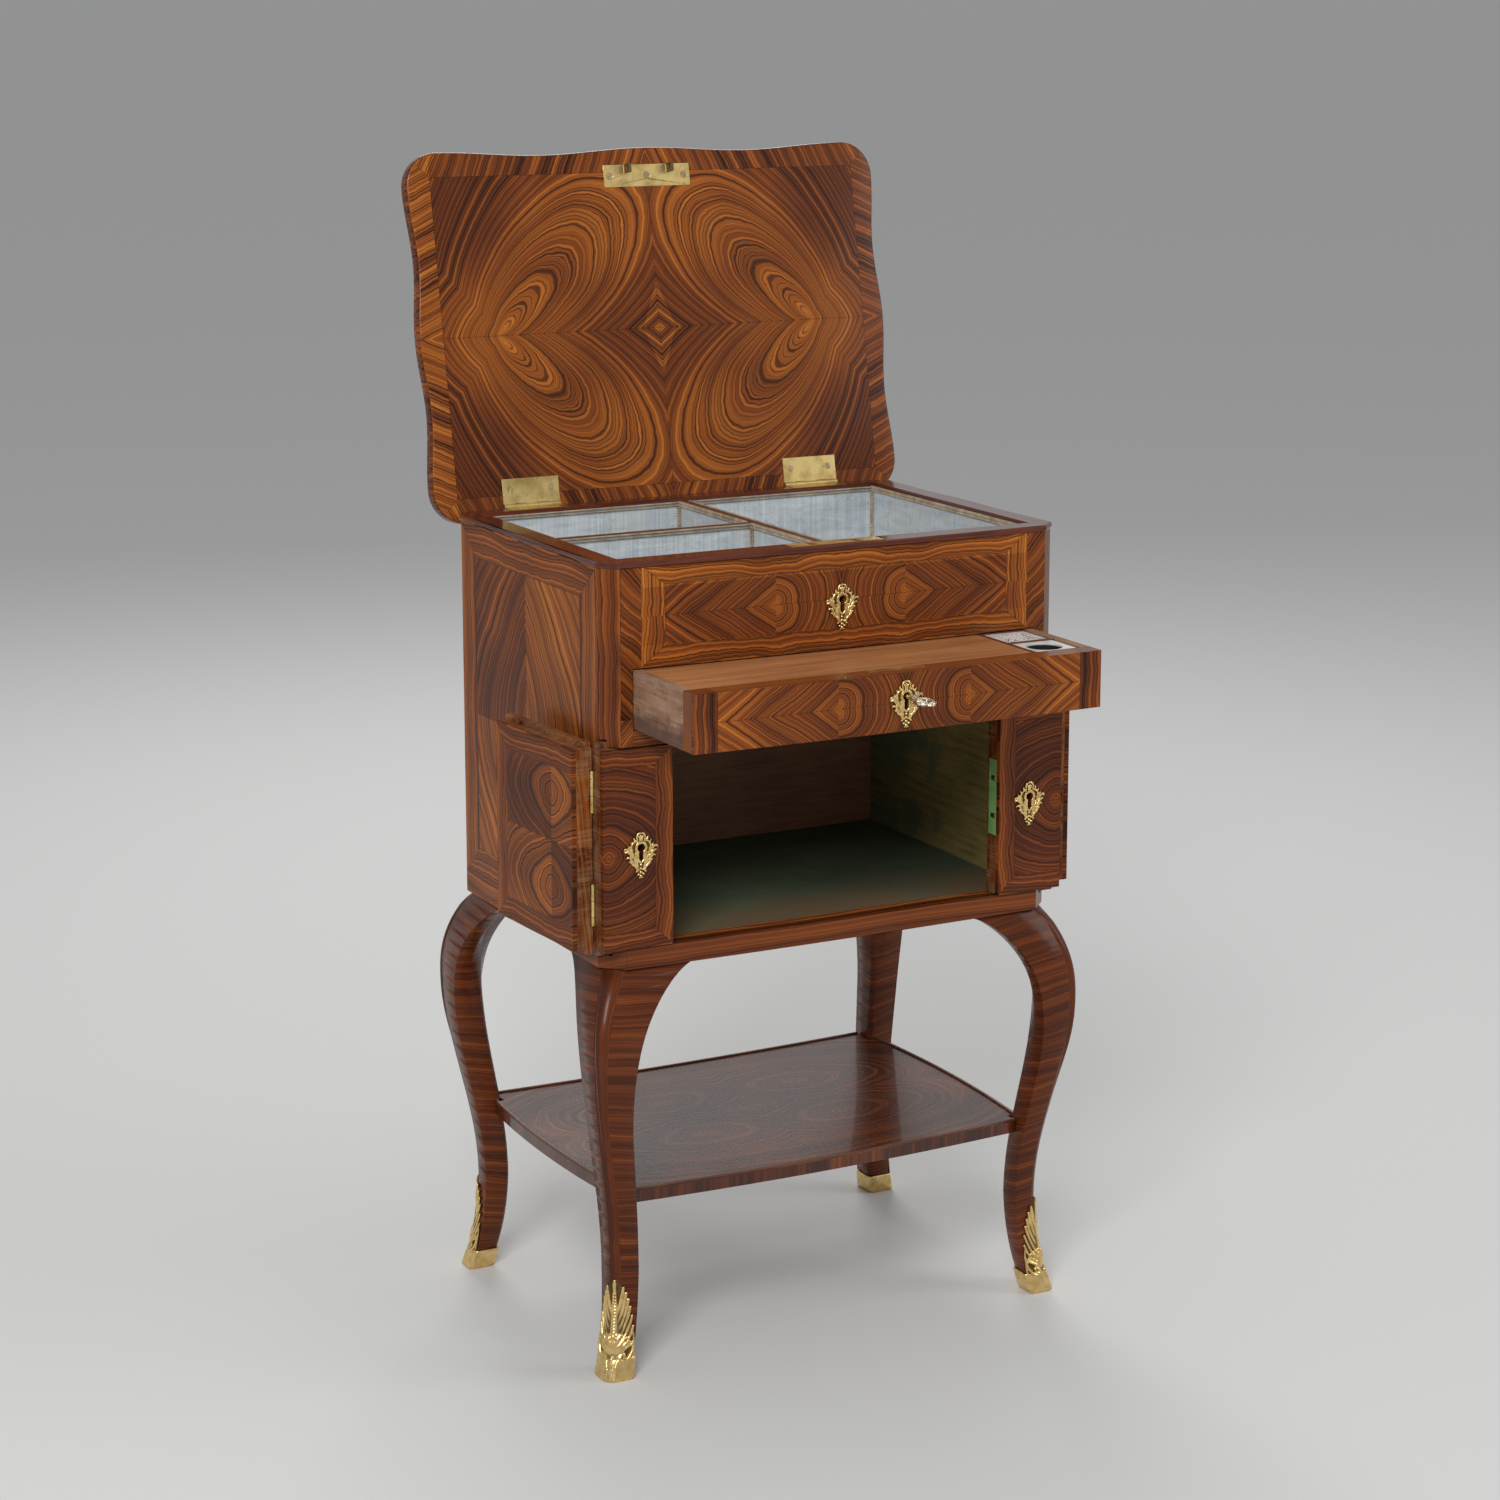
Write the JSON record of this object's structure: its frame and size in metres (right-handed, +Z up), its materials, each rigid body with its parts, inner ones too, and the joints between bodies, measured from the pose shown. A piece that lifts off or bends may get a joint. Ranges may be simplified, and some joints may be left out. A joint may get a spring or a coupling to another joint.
{
  "type": "writing and work table with cupboard",
  "caption": "Small cabriole-legged table cabinet: hinged lid over a lined well, a writing drawer with ink pots, sliding folding shutters over a cupboard, and a lower shelf.",
  "frame": {"origin": "on the floor, in the middle of the open rest pose left to right and front to back", "axes": "+X to the right as one faces the front, +Y to the back, +Z up"},
  "size_m": [0.561, 0.5982, 1.1374],
  "materials": {
    "veneer": "french polished",
    "plain_wood": "planed and oiled",
    "dark_wood": "french polished",
    "writing_wood": "waxed",
    "silk": "watered silk",
    "baize": "napped wool",
    "braid": "woven metal thread",
    "gilt_bronze": "chased and gilded",
    "brass": "worn polish",
    "silvered": "tarnished silver plate"
  },
  "bodies": {
    "carcass": {"side_panel_left": "veneer", "side_panel_right": "veneer", "back_panel": "veneer", "corner_post_left": "veneer", "corner_post_right": "veneer", "well_front": "veneer", "drawer_rail": "veneer", "dust_board": "plain_wood", "drawer_runners": "plain_wood", "well_floor": "plain_wood", "well_divider_long": "dark_wood", "well_divider_cross": "dark_wood", "silk_linings": "silk", "well_braid": "braid", "top_rim": "dark_wood", "base_rail": "veneer", "corner_blocks": "plain_wood", "cupboard_floor": "plain_wood", "baize": "baize", "leg_front_left": "veneer", "leg_front_right": "veneer", "leg_rear_left": "veneer", "leg_rear_right": "veneer", "sabots": "gilt_bronze", "shelf": "veneer", "shelf_lip": "dark_wood", "lid_lock": "brass", "well_escutcheon": "gilt_bronze", "lid_hinge_lower": "brass", "rim_screws": "brass"},
    "lid": {"lid_board": "veneer", "lid_hinge_upper": "brass", "strike_plate": "brass", "lid_screws": "brass"},
    "lid_bolt": {"lid_lock_bolt": "brass"},
    "drawer": {"drawer_front": "veneer", "drawer_sides": "plain_wood", "drawer_back": "plain_wood", "drawer_bottom": "plain_wood", "ink_partitions": "plain_wood", "drawer_lock": "brass", "drawer_escutcheon": "gilt_bronze"},
    "drawer_bolt": {"drawer_lock_bolt": "brass"},
    "key": {"drawer_key": "gilt_bronze"},
    "writing_board": {"writing_board": "writing_wood"},
    "inkwell": {"inkwell": "silvered"},
    "pounce_box": {"pounce_box": "silvered"},
    "left_stile": {"left_shutter_stile": "veneer", "left_stile_hinges": "brass", "left_shutter_escutcheon": "gilt_bronze", "left_shutter_keeper": "brass"},
    "left_leaf": {"left_shutter_leaf": "veneer", "left_leaf_hinges": "brass"},
    "right_stile": {"right_shutter_stile": "veneer", "right_stile_hinges": "brass", "right_shutter_escutcheon": "gilt_bronze", "right_shutter_lock": "brass"},
    "right_leaf": {"right_shutter_leaf": "veneer", "right_leaf_hinges": "brass"},
    "shutter_bolts": {"right_shutter_bolts": "brass"}
  },
  "joints": [
    {"name": "lid_hinge", "type": "hinge", "parent": "carcass", "child": "lid", "pos_m": [0, 0.21851, 0.7875], "axis": [1, 0, 0], "range_deg": [0, 100.5]},
    {"name": "lid_bolt_slide", "type": "slide", "parent": "carcass", "child": "lid_bolt", "axis": [-1, 0, 0], "range_m": [0, 0.006]},
    {"name": "drawer_slide", "type": "slide", "parent": "carcass", "child": "drawer", "axis": [0, -1, 0], "range_m": [-0.12, 0.08]},
    {"name": "key_turn", "type": "hinge", "parent": "drawer", "child": "key", "pos_m": [0, -0.24669, 0.664], "axis": [0, -1, 0], "range_deg": [0, 180]},
    {"name": "drawer_bolt_slide", "type": "slide", "parent": "drawer", "child": "drawer_bolt", "axis": [0, 0, 1], "range_m": [0, 0.007]},
    {"name": "writing_board_slide", "type": "slide", "parent": "drawer", "child": "writing_board", "axis": [0, 1, 0], "range_m": [0, 0.1]},
    {"name": "inkwell_lift", "type": "slide", "parent": "drawer", "child": "inkwell", "axis": [0, 0, 1], "range_m": [0, 0.03]},
    {"name": "pounce_box_lift", "type": "slide", "parent": "drawer", "child": "pounce_box", "axis": [0, 0, 1], "range_m": [0, 0.03]},
    {"name": "left_shutter_slide", "type": "slide", "parent": "carcass", "child": "left_stile", "axis": [-1, 0, 0], "range_m": [-0.003, 0.01]},
    {"name": "left_leaf_fold", "type": "hinge", "parent": "left_stile", "child": "left_leaf", "pos_m": [-0.2505, -0.10869, 0.518], "axis": [0, 0, 1], "range_deg": [-5, 85.5]},
    {"name": "right_shutter_slide", "type": "slide", "parent": "carcass", "child": "right_stile", "axis": [1, 0, 0], "range_m": [-0.003, 0.01]},
    {"name": "right_leaf_fold", "type": "hinge", "parent": "right_stile", "child": "right_leaf", "pos_m": [0.2505, -0.10869, 0.518], "axis": [0, 0, -1], "range_deg": [-5, 85.5]},
    {"name": "shutter_bolts_slide", "type": "slide", "parent": "right_stile", "child": "shutter_bolts", "axis": [-1, 0, 0], "range_m": [0, 0.006]}
  ],
  "couplings": [
    {"joint": "key_turn", "follows": "drawer_bolt_slide", "rad_per_m": 448.8}
  ]
}
